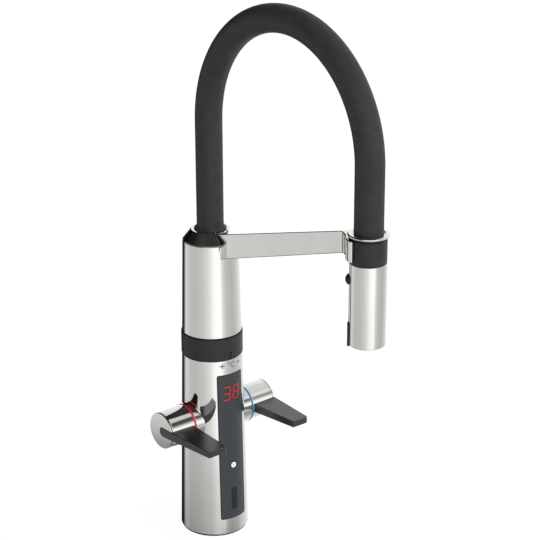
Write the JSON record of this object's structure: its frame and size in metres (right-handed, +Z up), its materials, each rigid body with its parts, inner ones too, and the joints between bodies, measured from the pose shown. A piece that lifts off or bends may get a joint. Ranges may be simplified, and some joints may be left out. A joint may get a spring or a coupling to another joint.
{
  "type": "touchless kitchen faucet",
  "caption": "Tall deck-mounted faucet with arched hose, docked pull-down hand spray, side levers, temperature ring and a front panel with display, touch key and sensor window.",
  "frame": {"origin": "centre of the deck gasket's underside, on the column's axis", "axes": "+Z up along the column, spout and front panel towards -Y, hot side towards -X, cold side towards +X"},
  "size_m": [0.1222, 0.2594, 0.5192],
  "materials": {
    "chrome_shell": "mirror polished chrome plate",
    "black_gasket": "matte black rubber",
    "machined_brass": "machined brass",
    "steel": "bare stainless steel",
    "panel_plastic": "satin dark grey plastic",
    "display_glass": "smoked gloss plastic",
    "display_red": "lit red segments",
    "key_white": "gloss white plastic",
    "window_black": "gloss black infrared window",
    "board_green": "green circuit board",
    "inner_black": "moulded black plastic",
    "ceramic_white": "off-white moulded plastic",
    "copper_tube": "drawn copper",
    "coil_red": "lacquered winding",
    "hot_red": "gloss red ring",
    "cold_blue": "gloss blue ring",
    "ring_black": "satin black plastic",
    "lever_black": "satin black paint",
    "hose_rubber": "matte charcoal rubber",
    "hose_inner": "pale food-grade hose",
    "magnet": "nickel-plated magnet",
    "grip_rubber": "soft black rubber"
  },
  "bodies": {
    "column": {"deck_gasket": "black_gasket", "base_plate": "machined_brass", "base_screws": "steel", "cable_gland": "inner_black", "lower_shell": "chrome_shell", "panel_seal": "black_gasket", "panel_cover": "panel_plastic", "display_window": "display_glass", "display_digits": "display_red", "touch_key": "key_white", "sensor_window": "window_black", "control_board": "board_green", "display_module": "inner_black", "sensor_module": "inner_black", "valve_block": "machined_brass", "inlet_tubes": "copper_tube", "cartridge_left": "ceramic_white", "cartridge_right": "ceramic_white", "base_sleeve_left": "chrome_shell", "base_sleeve_right": "chrome_shell", "hot_ring": "hot_red", "cold_ring": "cold_blue", "solenoid_body": "inner_black", "solenoid_coil": "coil_red", "riser_tube": "copper_tube", "neck": "machined_brass", "ring_stop_pin": "steel", "retaining_clip": "steel", "swivel_seals": "black_gasket"},
    "temperature_ring": {"temperature_ring": "ring_black", "ring_magnet": "magnet"},
    "lever_left": {"spindle_left": "machined_brass", "barrel_left": "chrome_shell", "lever_left": "lever_black", "end_disc_left": "chrome_shell"},
    "lever_right": {"spindle_right": "machined_brass", "barrel_right": "chrome_shell", "lever_right": "lever_black", "end_disc_right": "chrome_shell"},
    "swivel": {"upper_shell": "chrome_shell", "lower_bush": "ceramic_white", "upper_bush": "ceramic_white", "arm": "chrome_shell", "dock_magnet": "magnet", "hose_boot": "black_gasket", "hose_sleeve": "hose_rubber", "support_spring": "steel", "water_hose": "hose_inner"},
    "hose_end": {"flange_ring": "chrome_shell", "hose_nut": "machined_brass"},
    "spray": {"spray_collar": "ring_black", "spray_sleeve": "chrome_shell", "spray_core": "inner_black", "nozzle_plate": "inner_black", "grip_strip": "grip_rubber", "button_spring": "steel"},
    "button": {"spray_button": "grip_rubber"},
    "plunger": {"solenoid_plunger": "steel", "plunger_spring": "steel"}
  },
  "joints": [
    {"name": "temperature_turn", "type": "hinge", "parent": "column", "child": "temperature_ring", "pos_m": [0, 0, 0.1895], "axis": [0, 0, 1], "range_deg": [-20, 20]},
    {"name": "swivel_turn", "type": "hinge", "parent": "column", "child": "swivel", "pos_m": [0, 0, 0.245], "axis": [0, 0, 1], "range_deg": [-70, 70]},
    {"name": "hot_lever_turn", "type": "hinge", "parent": "column", "child": "lever_left", "pos_m": [0, 0, 0.114], "axis": [-1, 0, 0], "range_deg": [0, 90]},
    {"name": "cold_lever_turn", "type": "hinge", "parent": "column", "child": "lever_right", "pos_m": [0, 0, 0.114], "axis": [-1, 0, 0], "range_deg": [0, 90]},
    {"name": "spray_pull", "type": "slide", "parent": "swivel", "child": "hose_end", "axis": [0, -1, 0], "range_m": [0, 0.045], "deforming": ["hose_sleeve", "support_spring", "water_hose"]},
    {"name": "spray_turn", "type": "hinge", "parent": "hose_end", "child": "spray", "pos_m": [0, -0.21, 0.338], "axis": [0, 0, 1], "continuous": true},
    {"name": "button_press", "type": "slide", "parent": "spray", "child": "button", "axis": [0.7431, -0.6691, 0], "range_m": [0, 0.002], "stiffness_N_per_m": 800, "springref_m": -0.002, "deforming": ["button_spring"]},
    {"name": "plunger_lift", "type": "slide", "parent": "column", "child": "plunger", "axis": [0, 0, 1], "range_m": [0, 0.003], "stiffness_N_per_m": 400, "springref_m": -0.002, "deforming": ["plunger_spring"]}
  ]
}
